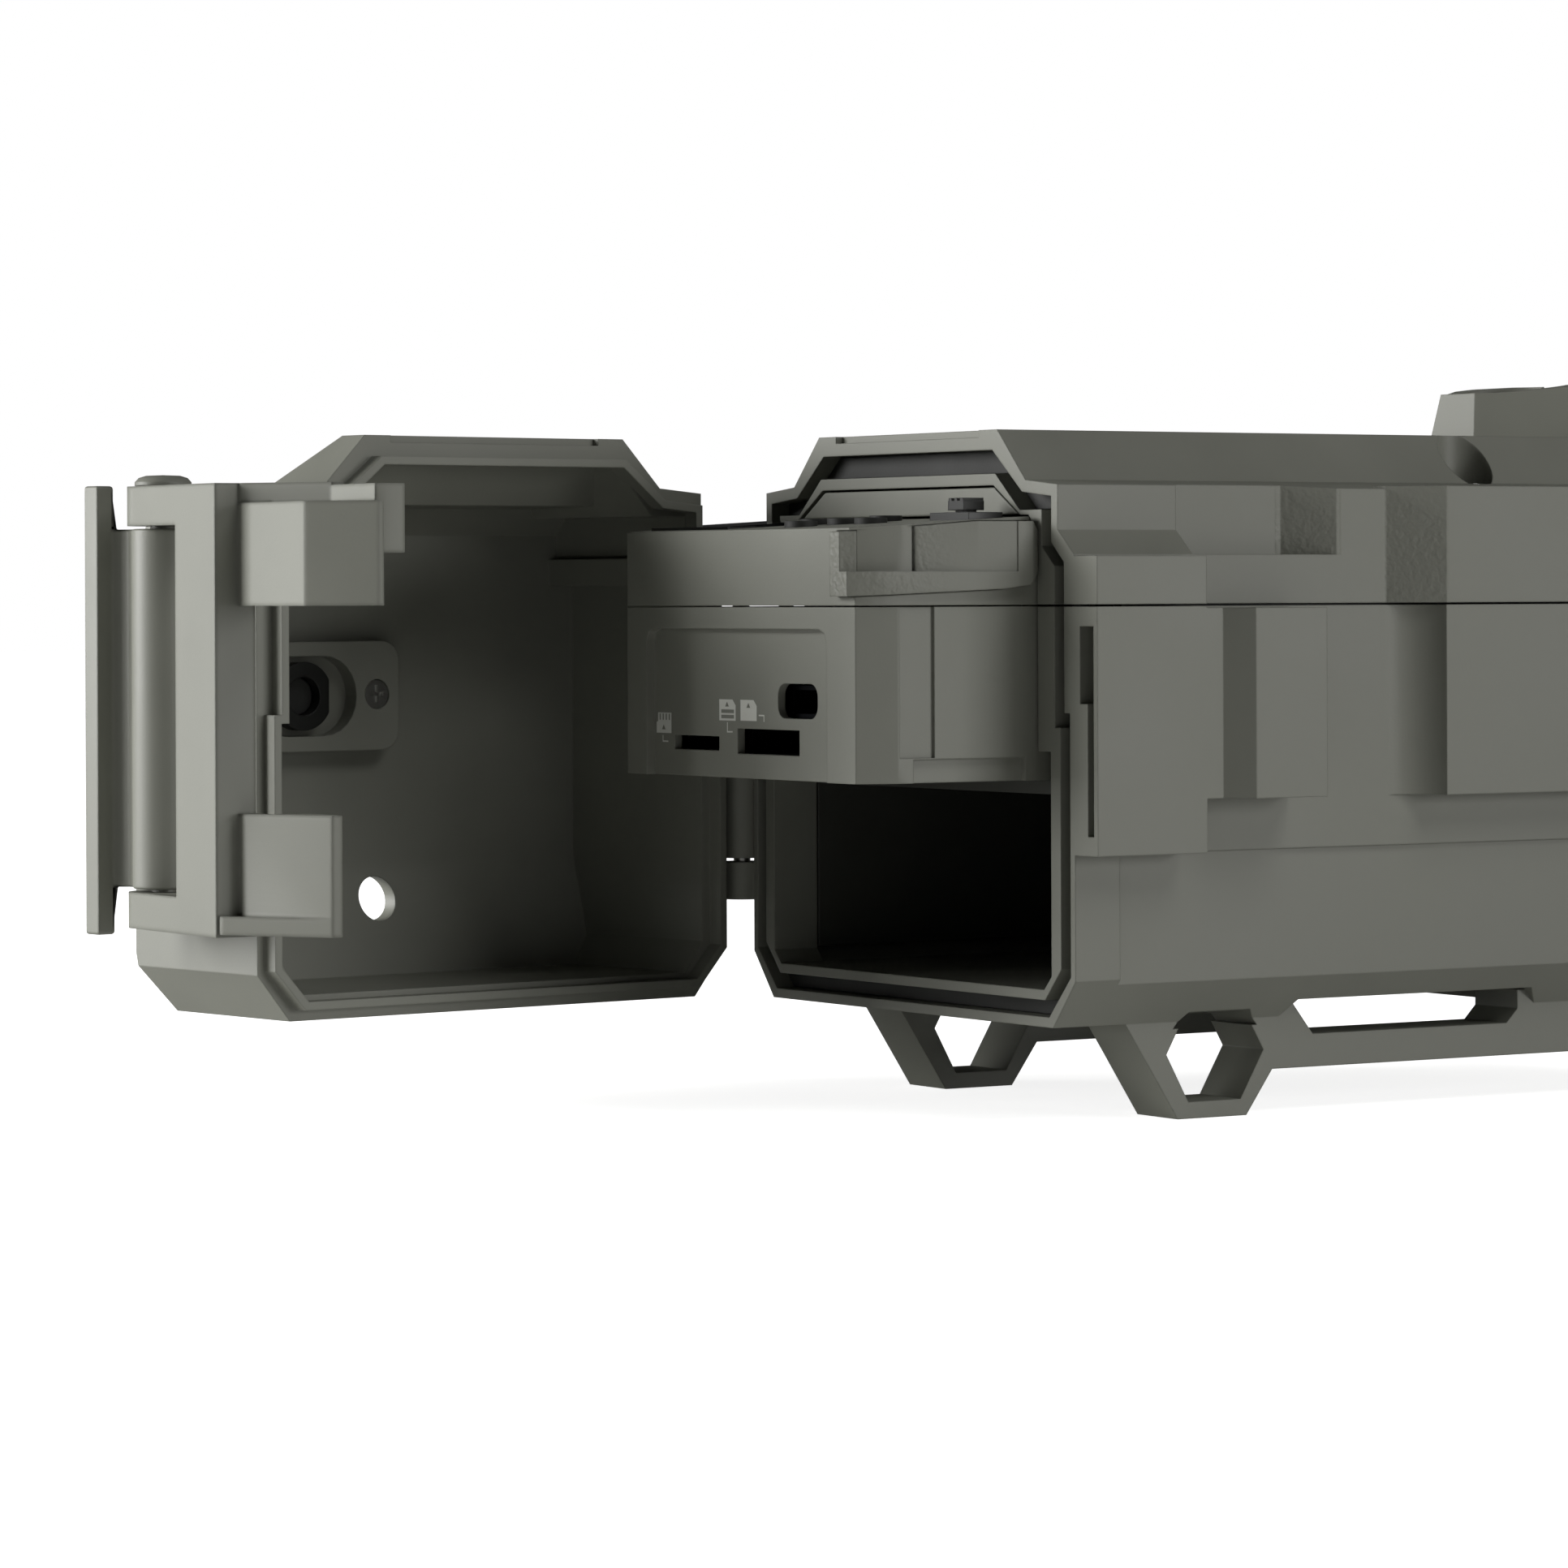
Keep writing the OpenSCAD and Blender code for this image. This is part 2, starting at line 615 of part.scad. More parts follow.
module lens_window() {
    color("#2a2d2e") at_rim() translate([lens_x, 0, 0])
        rod(lens_seat - 0.1, front_h - 1.2, front_h - 0.2);
}
module lens_barrel() {
    color(seal_black) at_rim() translate([lens_x, 0, 0]) difference() {
        union() {
            rod(lens_r, front_h - 11, front_h - 1.3);
            rod(lens_r - 1.4, board_z + 4, front_h - 11);
            box([-lens_r - 0.8, -lens_r - 1.8, board_z + board_t], [lens_r + 0.8, lens_r + 1.8,
                board_z + 4]);
        }
        rod(lens_r - 1.8, front_h - 6, front_h);
        rod(lens_r - 3, board_z, front_h);
        box([-4.6, -4.6, board_z], [4.6, 4.6, board_z + 3]);
    }
}
// Front element, a spherical cap on a short cylinder
module lens_glass() {
    color("#39424a") at_rim() translate([lens_x, 0, 0]) rotate_extrude()
        polygon(concat([[0, front_h - 6], [lens_r - 1.85, front_h - 6]],
            [for (t = [0 : 15 : 90]) [(lens_r - 1.85) * cos(t), front_h - 4.6 + 2 * sin(t)]]));
}
module image_sensor() {
    color(seal_black) at_rim() translate([lens_x, 0, 0])
        box([-4, -4, board_z + board_t], [4, 4, board_z + board_t + 1.2]);
}
module led_window() {
    color("#14161a") at_rim() translate([led_x, 0, 0])
        box([-led_w / 2 - 0.6, -led_l / 2 - 0.7, front_h - 1.2],
            [led_w / 2 + 0.6, led_l / 2 + 0.7, front_h - 0.2]);
}
// Two rows of six lamps
module ir_leds() {
    r = led_w / 2 - 1.6;
    color("#23262b") at_rim()
        for (i = [-1, 1], j = [-2.5 : 1 : 2.5])
            translate([led_x + i * (r + 0.2), j * led_l / 6.2, 0]) {
                rod(r, board_z + board_t, front_h - 3.4);
                translate([0, 0, front_h - 3.4]) sphere(r = r, $fn = 16);
            }
}
// Lens of the motion sensor, a shallow dished window
module pir_lens() {
    color("#d8d8d2") at_rim() translate([pir_x, 0, 0]) difference() {
        union() {
            along_z(front_h - 1.4, front_h - 0.3) slot_2d(25.8, 17.8, 3.9);
            along_z(front_h - 3.4, front_h - 1.4) slot_2d(23.8, 15.8, 2.9);
        }
        along_z(front_h - 4, front_h - 0.9) slot_2d(22.2, 14.2, 2.1);
    }
}
module pir_sensor() {
    color(bright_metal) at_rim() translate([pir_x, 0, board_z + board_t]) difference() {
        union() {
            rod(4.6, 0, 0.6);
            rod(4.1, 0.6, 4.2);
        }
        box([-2, -1.5, 3.7], [2, 1.5, 5]);
    }
}
module front_board() {
    color(board_green) at_rim() difference() {
        box([core_in + 3, 1 - hump_y, board_z], [body_l - 8, hump_y - 1, board_z + board_t]);
        at_screws() rod(6, 0, 20);
    }
}
// Panel that closes the raised front above the core module
module bulkhead_panel() {
    color(shell_grey) at_rim() along_x(0.2, 3) polygon(panel_outline());
}
function panel_outline() = [[0.9 - bevel_y, core_top + 0.35], [bevel_y - 0.9, core_top + 0.35],
    [crown_y - 0.3, crown_z - 0.3], [0.3 - crown_y, crown_z - 0.3]];

// ---------- core module ----------

function core_plan() = [[-core_out, -core_half + 2], [-core_out + 5.4, -core_half],
    [core_in, -core_half], [core_in, core_half], [-core_out + 5.4, core_half],
    [-core_out, core_half - 2]];
// Side outline of the upper half, whose top rises to the rim
function core_side() = [[-core_out, -core_down], [core_in, -core_down], [core_in, core_top],
    [0, core_top], [-core_out, core_up]];
// Height of the top at a place along the module
function top_at(x) = core_up + core_rise * min(1, (x + core_out) / core_out);

module core_form() {
    intersection() {
        along_z(-core_down, core_top + 1) polygon(core_plan());
        along_y(-core_half, core_half) polygon(core_side());
        // Top edges are bevelled where they pass the rim
        union() {
            box([-core_out, -core_half, -core_down], [-1, core_half, core_top]);
            along_x(-1 - eps, core_in) polygon(both([[core_half, -core_down],
                [core_half, core_top - 2.4], [core_half - 2.4, core_top]]));
        }
    }
}
module core_hollow() {
    intersection() {
        along_z(-core_down + core_wall, core_top + 1) polygon(inset(core_plan(), core_wall + 0.6));
        along_y(-core_half, core_half) polygon(inset(core_side(), core_wall));
        along_x(-core_out, core_in) polygon(both([[core_half - core_wall, -core_down],
            [core_half - core_wall, core_top - 3.4], [core_half - core_wall - 2.4, core_top]]));
    }
}
module at_core_screws() {
    for (p = core_screw_xy)
        translate([p.x, p.y, 0]) children();
}

module core_front() {
    color(shell_grey) at_rim() difference() {
        intersection() {
            union() {
                difference() {
                    core_form();
                    core_hollow();
                }
                at_core_screws() rod(core_boss_r, 0, core_top - 1);
            }
            layer(0.1, core_top + over);
        }
        at_core_screws() rod(core_screw_r + pin_fit, -over, 8);
        for (p = key_xy)
            translate([p.x, p.y, 0]) rod(key_r + 0.08, 5, core_top + 2);
        translate([switch_xy.x, switch_xy.y, 0]) box([-3, -5, 5], [3, 5, core_top + 2]);
        box([display_x[0] + 1.5, display_y[0] + 1.5, 5], [display_x[1] - 1.5, display_y[1] - 1.5,
            core_top + 2]);
        // Seat of the grip on the near corner
        grip_form(0.1);
        swing_clear();
        // Seat of the display window follows the sloping top
        window_form(0.1);
    }
}
// Space that the hatch's latch side sweeps as it swings past the module's corner
module swing_clear() {
    difference() {
        box([-core_out - 9, -half_w, notch_z - 2.2], [-4, 0, core_top + 9]);
        translate([0, hinge_y, 0]) rod(hinge_y + half_w - notch_d - 3.5, 0, core_top + 10);
    }
}
// Grip pad round the near corner
module grip_form(g) {
    intersection() {
        along_z(1.3 - g, core_up + 0.9 + g) polygon([[-core_out - 1.3, g - in(15.5)],
            [-core_out - 1.3, -in(11.2)], [-core_out + 4.6, -in(8.2)], [-1.6, -in(7.4)],
            [g - 0.3, -in(8.2)], [g - 0.3, -in(10) + g], [-core_out + 6, -in(10) + g],
            [-core_out + 1, -in(12.2) + g], [-core_out + 1, g - in(15.5)]]);
        along_y(-half_w, 0) polygon([[-core_out - 2, 1.3 - g], [-6, 2.3 - g], [-2, 2.8 - g],
            [g - 0.3, 4.6], [g - 0.3, core_top - 2], [-2, core_top - 0.1 + g],
            [-core_out - 2, core_up - 0.6 + g]]);
    }
}
module window_form(g) {
    along_y(display_y[0] - g, display_y[1] + g) polygon([
        [display_x[0] - g, top_at(display_x[0]) - 0.7 - g],
        [display_x[1] + g, top_at(display_x[1]) - 0.7 - g],
        [display_x[1] + g, top_at(display_x[1]) + 0.4 + g],
        [display_x[0] - g, top_at(display_x[0]) + 0.4 + g]]);
}
module core_back() {
    color(shell_grey) at_rim() difference() {
        union() {
            intersection() {
                difference() {
                    core_form();
                    core_hollow();
                }
                layer(-core_down - over, -0.1);
            }
            at_core_screws() rod(core_boss_r, -core_down + 0.5, -0.1);
        }
        // Recess in the end face, open at the bottom
        along_x(-core_out - over, -core_out + 1.4) polygon([[-23.1, -core_down - over],
            [25, -core_down - over], [25, -5], [24.4, -3.7], [23, -3.1], [-21.1, -3.1],
            [-22.5, -3.7], [-23.1, -5]]);
        // Card slots and the data port
        box([-core_out - over, sd_y[0], sd_z[0]], [-core_out + 6, sd_y[1], sd_z[1]]);
        box([-core_out - over, sim_y[0], sim_z[0]], [-core_out + 6, sim_y[1], sim_z[1]]);
        port_form(-core_out - over, -core_out + 6, 0);
        // Step up to the wider middle of each side, behind the end face
        both_sides() box([-core_out + 5.8, core_half - 0.5, -core_down + 3.4],
            [-core_out + 11.4, core_half + over, 0]);
        // Undercut along the lower side edges
        both_sides() box([-core_out + 8, core_half - 1, -core_down - over],
            [-1.8, core_half + over, -core_down + 3.2]);
        at_core_screws() {
            rod(core_screw_r + pin_fit, -core_down - over, over);
            rod(2 * core_screw_r, -core_down - over, -core_down + 2.5);
        }
    }
}
// Round-ended opening of the data port, grown by g
module port_form(x0, x1, g) {
    r = (usb_z[1] - usb_z[0]) / 2 - 0.6;
    translate([0, (usb_y[0] + usb_y[1]) / 2, (usb_z[0] + usb_z[1]) / 2])
        along_x(x0, x1) slot_2d(usb_y[1] - usb_y[0] + 2 * g, usb_z[1] - usb_z[0] + 2 * g, r + g);
}
module core_grip() {
    color(dark_grey) at_rim() difference() {
        grip_form(0);
        // Keep the pad clear of the key and switch area
        box([-core_out + 6, -in(9.9), 0], [5, 0, 20]);
        swing_clear();
    }
}
module core_screws() {
    color(bright_metal) at_rim() at_core_screws() {
        rod(2 * core_screw_r - 0.2, -core_down + 0.9, -core_down + 2.5);
        rod(core_screw_r, -core_down + 2.5, 6);
    }
}
module display_window() {
    color("#101418") at_rim() window_form(0);
}
module display_panel() {
    color("#2b3a40") at_rim() box([display_x[0] + 1.7, display_y[0] + 1.7, keys_z + keys_t],
        [display_x[1] - 1.7, display_y[1] - 1.7, core_up - 1]);
}
module keypad_board() {
    color(board_green) at_rim() union() {
        box([-core_out + 4.6, 7 - core_half, keys_z], [-1.5, core_half - 3.4, keys_z + keys_t]);
        for (p = key_xy)
            translate([p.x, p.y, 0]) box([-1.6, -1.6, keys_z + keys_t],
                [1.6, 1.6, keys_z + keys_t + 0.7]);
    }
}
module main_board() {
    color(board_green) at_rim() difference() {
        box([-core_out + 4.6, 3.4 - core_half, main_z], [core_in - 10, core_half - 3.4,
            main_z + main_t]);
        at_core_screws() rod(core_boss_r + 0.3, -20, 0);
    }
}
// Metal shell of a card socket with its open mouth
module card_socket(y, z, l) {
    difference() {
        box([-core_out + 3.8, y[0] - 1, z[0] - 0.4], [-core_out + 3.8 + l, y[1] + 1, main_z]);
        box([-core_out + 3, y[0], z[0]], [-core_out + 3.2 + l, y[1], z[1]]);
    }
}
module sd_socket() {
    color(bright_metal) at_rim() card_socket(sd_y, sd_z, 15);
}
module sim_socket() {
    color(bright_metal) at_rim() card_socket(sim_y, sim_z, 17);
}
module usb_socket() {
    color(bright_metal) at_rim() difference() {
        box([-core_out + 3.8, usb_y[0] + 0.1, main_z + main_t],
            [-core_out + 11, usb_y[1] - 0.1, usb_z[1] - 0.3]);
        box([-core_out + 3, usb_y[0] + 0.7, main_z + main_t + 0.6],
            [-core_out + 10, usb_y[1] - 0.7, usb_z[1] - 0.9]);
    }
}
module modem_shield() {
    color(bright_metal) at_rim() box([0, -core_half / 2, main_z + main_t],
        [core_in - 10, core_half / 2, main_z + main_t + 2.6]);
}
module antenna() {
    color(gold) at_rim() box([body_l - wall - 0.5, -half_w / 2, -24],
        [body_l - wall - 0.1, half_w / 2, 4]);
}
module mode_switch_base() {
    color(seal_black) at_rim() translate([switch_xy.x, switch_xy.y, 0]) difference() {
        box([-2.8, -4.8, keys_z + keys_t], [2.8, 4.8, core_top + 0.6]);
        box([-1.1, -3.6, 8], [1.1, 3.6, core_top + over]);
    }
}
module mode_switch() {
    color(seal_black) at_rim() translate([switch_xy.x, switch_xy.y, 0]) union() {
        box([-0.8, -1.4, 8.3], [0.8, 1.4, core_top + 1]);
        box([-1.7, -1.9, core_top + 0.9], [1.7, 1.9, core_top + 2.2]);
        // Grooves of the thumb pad
        for (y = [-1.4, 0, 1.4])
            box([-1.7, y - 0.35, core_top + 2], [1.7, y + 0.35, core_top + 2.6]);
    }
}
// Key that slides in its hole, with a flange under the wall
module key(i) {
    p = key_xy[i];
    color(seal_black) at_rim() translate([p.x, p.y, 0]) {
        rod(key_r, core_up - 3.4, top_at(p.x) + 0.8);
        rod(key_r + 0.7, core_up - 3.6, core_up - 2.8);
    }
}
module key_up() {
    key(0);
}
module key_down() {
    key(1);
}
module key_left() {
    key(2);
}
module key_right() {
    key(3);
}
module key_ok() {
    key(4);
}

// ---------- battery bay ----------

// Liner of the bay with sides, a roof and an end wall
module battery_sleeve() {
    color(dark_grey) at_rim() difference() {
        union() {
            both_sides() box([collar_l + 0.3, bay_half, bay_floor + 2.2],
                [bay_l + 3, bay_half + sleeve_t, bay_roof]);
            box([collar_l + 0.3, -bay_half, bay_roof - 2], [bay_l + 3, bay_half, bay_roof]);
            box([bay_l + 1, -bay_half, bay_floor + 2.2], [bay_l + 3, bay_half, bay_roof]);
        }
        for (c = cell_yz)
            translate([bay_l, c.x, c.y]) rotate([0, 90, 0]) cylinder(r = 2.2, h = 8);
    }
}
module contact_board() {
    color(board_green) at_rim() box([bay_l + 3.1, 2 - bay_half, bay_floor + 0.3],
        [bay_l + 4.3, bay_half - 2, bay_roof - 1.7]);
}
// Conical coil springs as a swept wire
function coil_point(t) = [-8 * t, (2 + 3.2 * t) * cos(1260 * t), (2 + 3.2 * t) * sin(1260 * t)];
module coil(n, r, k) {
    pts = [for (i = [0 : n]) let (c = coil_point(i / n), a = 1260 * i / n) for (j = [0 : k - 1])
        let (b = 360 * j / k) c + [r * sin(b), r * cos(b) * cos(a), r * cos(b) * sin(a)]];
    sides = [for (i = [0 : n - 1]) for (j = [0 : k - 1])
        [i * k + j, i * k + (j + 1) % k, (i + 1) * k + (j + 1) % k, (i + 1) * k + j]];
    polyhedron(pts, concat([[for (j = [k - 1 : -1 : 0]) j]], sides,
        [[for (j = [0 : k - 1]) n * k + j]]));
}
module battery_springs() {
    color(bright_metal) at_rim()
        for (i = [0, 2])
            translate([bay_l + 0.5, cell_yz[i].x, cell_yz[i].y]) coil(56, 0.45, 6);
}
module battery_pads() {
    color(bright_metal) at_rim()
        for (i = [1, 3])
            translate([bay_l + 1, cell_yz[i].x, cell_yz[i].y]) rotate([0, -90, 0])
                cylinder(r1 = 4.4, r2 = 3.4, h = 1.2);
}
module hinge_pin() {
    color(bright_metal) at_rim() translate([0, hinge_y, 0])
        rod(hinge_pin_r, knuckle_low[0] + 1.1, knuckle_top[1]);
}

// ---------- hatch ----------

function hatch_plan() = [[-hatch_side_l, -half_w], [-hatch_gap, -half_w], [-hatch_gap, half_w],
    [-hatch_side_l, half_w], [-hatch_l, half_w - 4], [-hatch_l, -half_w + 4]];
function hatch_side() = [[-hatch_gap, -back_d], [-hatch_gap, front_h], [-5.7, front_h],
    [-13.9, shoulder_h + 0.7], [-hatch_l + 5, shoulder_h + 0.5], [-hatch_l, shoulder_h - 5],
    [-hatch_l, -37.7], [-hatch_l + 5.6, -back_d]];
// Inside outline of the hatch
function hatch_inner() = both([[in(corner_y) - 1.7, -back_d + hatch_wall - 0.4],
    [in(hatch_wall), corner_z - back_d + 1.5], [in(hatch_wall), notch_z - 2.4],
    [in(notch_d + 3), notch_z + 0.6], [in(notch_d + 3), shoulder_h - 3.4],
    [flank_y - 1.6, shoulder_h - 3.4], [hump_y - 1.4, front_h - 3.6]]);
module hatch_form() {
    intersection() {
        along_x(-hatch_l, -hatch_gap) polygon(rim_section());
        along_z(-back_d - 1, front_h + 1) polygon(hatch_plan());
        along_y(-half_w - 1, half_w + 1) polygon(hatch_side());
    }
}
module hatch_tongue() {
    difference() {
        along_x(-hatch_gap - 1, -hatch_gap + tongue_h) polygon(inset(groove_outer(), 0.2));
        along_x(-hatch_gap - 2, -hatch_gap + tongue_h + 1)
            polygon(inset(groove_outer(), 0.2 + tongue_t));
    }
}
// Lug on the side wall that carries the latch pin, with a narrow neck under the lever's skirt
module pin_lug(z) {
    at_latch_pin() rod(lug_r, z[0], z[1]);
    neck = 2;
    latch_plan(z[0], z[1], [[-pin_x - neck, pin_out], [-pin_x - neck, pin_out - lever_r - 0.6],
        [-pin_x - 6, -over], [-pin_x + 6, -over], [-pin_x + neck, pin_out - lever_r - 0.6],
        [-pin_x + neck, pin_out]]);
}
module at_latch_pin() {
    translate([-pin_x, -half_w - pin_out, 0]) children();
}
// Rod along the hatch's depth at a place in its floor
module floor_rod(y, z, r, x0, x1) {
    translate([x0, y, z]) rotate([0, 90, 0]) cylinder(r = r, h = x1 - x0);
}
module hatch_shell() {
    color(shell_grey) on_hatch() difference() {
        union() {
            difference() {
                hatch_form();
                intersection() {
                    along_x(-hatch_l, over) polygon(hatch_inner());
                    along_y(-half_w, half_w) polygon(inset([[4, -back_d], [4, front_h],
                        [-4.9, front_h], [-13.1, shoulder_h + 0.7], [-hatch_l + 5, shoulder_h + 0.5],
                        [-hatch_l, shoulder_h - 5], [-hatch_l, -37.7],
                        [-hatch_l + 5.6, -back_d]], hatch_floor));
                }
            }
            intersection() {
                hatch_tongue();
                box([-5, -half_w, -back_d], [5, half_w, front_h]);
            }
            pin_lug(lug_low);
            pin_lug(lug_top);
            mirror([1, 0, 0]) knuckle(knuckle_mid[0], knuckle_mid[1]);
            // Boss round the power socket
            along_x(-hatch_l + 1, -core_out - 0.7) translate([jack_y + 3.15, jack_z - 0.05])
                slot_2d(26.7, 16, 3);
            // Rib block on the far wall
            box([-hatch_l + 1, core_half + 0.9, 3], [-4, half_w - hatch_wall + 0.5, 7]);
        }
        // Shallow recess in the front edge
        box([-1.5, 4.5 - hump_y, front_h - 1], [2, hump_y - 4.5, front_h + over]);
        // Round-ended pocket of the power socket
        translate([0, jack_y, jack_z]) along_x(-hatch_l + hatch_floor, 0) slot_2d(17.8, 11.7, 5.7);
        floor_rod(jack_y, jack_z, 4.2, -hatch_l - over, -hatch_l + 9);
        // Screw hole beside it
        floor_rod(jack_screw_y, jack_z + 0.15, 2.2, -hatch_l + hatch_floor, -hatch_l + 12);
        // Hole through the floor for a lock cable
        floor_rod(cable_y, cable_z, cable_hole_r, -hatch_l - over, -hatch_l + 11);
        translate([0, hinge_y, 0]) rod(hinge_pin_r + pin_fit, -back_d, front_h);
        at_latch_pin() rod(pin_r + pin_fit, -back_d, front_h);
    }
}
module power_jack() {
    color(seal_black) on_hatch() difference() {
        union() {
            floor_rod(jack_y, jack_z, 4.1, -hatch_l + 1.2, -hatch_l + hatch_floor);
            floor_rod(jack_y, jack_z, 5, -hatch_l + hatch_floor, -hatch_l + hatch_floor + 2.2);
        }
        floor_rod(jack_y, jack_z, 2.8, -hatch_l, -hatch_l + hatch_floor + 2.7);
        // Flats of the socket's nut
        for (y = [-1, 1])
            translate([0, jack_y + y * 5.4, jack_z]) box([-hatch_l + hatch_floor + 0.8, -1, -5],
                [-hatch_l + hatch_floor + 4, 1, 5]);
    }
}
module jack_screw() {
    color(bright_metal) on_hatch() difference() {
        floor_rod(jack_screw_y, jack_z + 0.15, 2.1, -hatch_l + hatch_floor + 0.1,
            -hatch_l + hatch_floor + 2.5);
        for (a = [0, 90])
            translate([-hatch_l + hatch_floor + 2, jack_screw_y, jack_z + 0.15]) rotate([a, 0, 0])
                box([0, -1.3, -0.3], [over, 1.3, 0.3]);
    }
}
// Rubber plug over the power socket on the outside
module jack_cover() {
    color(seal_black) on_hatch() {
        floor_rod(jack_y, jack_z, 6.4, -hatch_l - 1.2, -hatch_l - 0.1);
        floor_rod(jack_y, jack_z, 2.7, -hatch_l - 0.2, -hatch_l + 2.8);
    }
}

// ---------- latch ----------

module latch_pin() {
    color(bright_metal) on_hatch() at_latch_pin() {
        rod(pin_r, arm_low[0] + 0.5, arm_top[1] + 0.6);
        // Low domed head
        translate([0, 0, arm_top[1] + 0.1]) rotate_extrude()
            polygon([[0, 0], [3.95, 0], [3.95, 0.5], [3.4, 1.1], [2.4, 1.4], [0, 1.5]]);
    }
}
// Plan of one arm, from its eye to the slab
module bail_arm(z) {
    at_latch_pin() rod(eye_r, z[0], z[1]);
    latch_plan(z[0], z[1], [[-pin_x, pin_out + eye_r - 0.1], [-pin_x + 4, slab_s[1]],
        [slab_x[1], slab_s[1]], [slab_x[1], slab_s[0]], [2, slab_s[0]],
        [-pin_x + 1.6, pin_out - eye_r + 0.6], [-pin_x, pin_out - eye_r + 0.6]]);
}
// Plan of a hook from the slab round to its underside, with its outer points between
function hook_plan(outer) = concat([[slab_x[1] - 0.5, slab_s[0]]], [[slab_x[1] - 0.5, outer[0].y]],
    outer, [[hook_x, hook_low], [hook_x, slab_s[0] + 0.1]]);
module latch_bail() {
    color(shell_grey) on_bail() difference() {
        union() {
            bail_arm(arm_top);
            bail_arm(arm_low);
            latch_plan(arm_low[0], arm_top[1], [[slab_x[0], slab_s[1]], [slab_x[1], slab_s[1]],
                [slab_x[1], slab_s[0]], [slab_x[0], slab_s[0]]]);
            // Upper hook with its sloped nose
            latch_plan(0.4, 14.3, hook_plan([[33.6, hook_out], [40.9, 1.3], [40.9, hook_low]]));
            // Tab that drops into the pocket beside the notch, with the web that carries it
            latch_plan(notch_z + 0.5, arm_top[1] - 0.4, [[20.4, 0.8], [28.6, 0.8], [39, 0.8],
                [39.4, -0.9], [39.4, -3.4], [20.4, -3.4]]);
            latch_plan(14.2, arm_top[1], [[slab_x[1] - 0.5, 8.4], [14.4, 8.4], [26.4, 0.8],
                [26.4, -1], [20.4, -1], [hook_x, hook_low], [hook_x, 3.6], [15, slab_s[0] + 0.1],
                [slab_x[1] - 0.5, slab_s[0] + 0.1]]);
            // Lower hook, and the gusset that closes its end
            latch_plan(-41.6, -27.7, hook_plan([[16.8, hook_out], [28.6, 2], [28.6, hook_low]]));
            latch_plan(arm_low[0] + 0.4, -41.5, hook_plan([[14.4, 11.6], [28.6, 2],
                [28.6, hook_low]]));
        }
        at_latch_pin() rod(pin_r + pin_fit, -back_d, front_h);
    }
}
// Finger lever between the arms, with a bar across its free end and a skirt over the lugs
module latch_lever() {
    span = [arm_low[1] + side_gap, arm_top[0] - side_gap];
    mid = [lug_low[1] + side_gap, lug_top[0] - side_gap];
    color(shell_grey) on_hatch() difference() {
        union() {
            latch_plan(arm_low[0] - 1.3, arm_top[1] + 0.2, [[-25.4, 12], [-22, 12], [-22, 9.2],
                [-25.4, 9.2]]);
            // Dished plate from the bar to the knuckle
            latch_plan(span[0], span[1], [[-24.8, 9.4], [-22, 9.4], [-19.6, 8.3],
                [-pin_x - 3.4, pin_out + 2.2], [-pin_x - 3.6, pin_out + 0.6],
                [-pin_x - 4.2, pin_out - 0.6], [-20, 6.4], [-24.8, 7.8]]);
            at_latch_pin() difference() {
                rod(lever_r, span[0], span[1]);
                // Room for the lugs, inside the skirt and on the wall side of it
                for (z = [[span[0] - over, mid[0]], [mid[1], span[1] + over]]) {
                    rod(lug_r + 0.3, z[0], z[1]);
                    along_z(z[0], z[1]) polygon([[0, 0], [-9, 1], [-9, 9], [9, 9], [9, 0]]);
                }
            }
        }
        at_latch_pin() rod(pin_r + pin_fit, -back_d, front_h);
    }
}

front_shell();
back_shell();
shell_gasket();
rim_gasket();
shell_screws();
tripod_insert();
lens_window();
lens_barrel();
lens_glass();
image_sensor();
led_window();
ir_leds();
pir_lens();
pir_sensor();
front_board();
bulkhead_panel();
core_front();
core_back();
core_grip();
core_screws();
display_window();
display_panel();
keypad_board();
main_board();
sd_socket();
sim_socket();
usb_socket();
modem_shield();
antenna();
battery_sleeve();
contact_board();
battery_springs();
battery_pads();
hinge_pin();
mode_switch_base();
mode_switch();
key_up();
key_down();
key_left();
key_right();
key_ok();
hatch_shell();
power_jack();
jack_screw();
jack_cover();
latch_pin();
latch_bail();
latch_lever();
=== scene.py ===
"""Trail camera on its back with the bottom hatch open: finishes, printed marks, floor, light and camera."""
import json
import math

import bpy
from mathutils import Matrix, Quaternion, Vector


